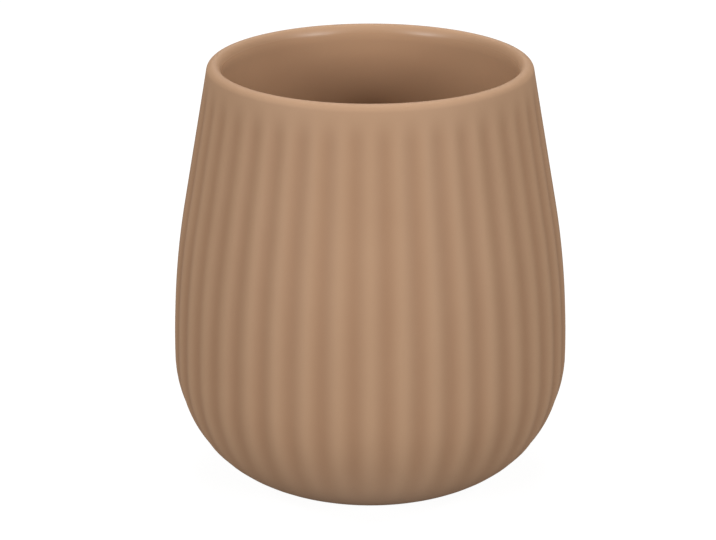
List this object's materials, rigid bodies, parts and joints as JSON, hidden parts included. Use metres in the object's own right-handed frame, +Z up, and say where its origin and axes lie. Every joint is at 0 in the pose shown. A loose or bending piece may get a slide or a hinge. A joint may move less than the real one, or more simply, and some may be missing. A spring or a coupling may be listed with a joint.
{
  "type": "bathroom tumbler",
  "caption": "Round-bellied fluted ceramic tumbler with a plain rounded lip and a smooth inside, for toothbrushes or rinsing, standing on soft pads.",
  "frame": {"origin": "centre of the standing plane, under the foot pads", "axes": "+Z up along the tumbler's axis, -Y towards the viewer of the picture, a flute crest on +X and on -Y"},
  "size_m": [0.09, 0.09, 0.096],
  "materials": {
    "glazed_stoneware": "camel brown glaze, matte on the fluted outside and half gloss inside, over slip-cast stoneware with a bare foot",
    "pad_foam": "closed-cell EVA foam, die cut, bonded with a film of adhesive"
  },
  "bodies": {
    "root": {"tumbler_body": "glazed_stoneware", "foot_pad_1": "pad_foam", "foot_pad_2": "pad_foam", "foot_pad_3": "pad_foam", "foot_pad_4": "pad_foam"}
  },
  "joints": []
}
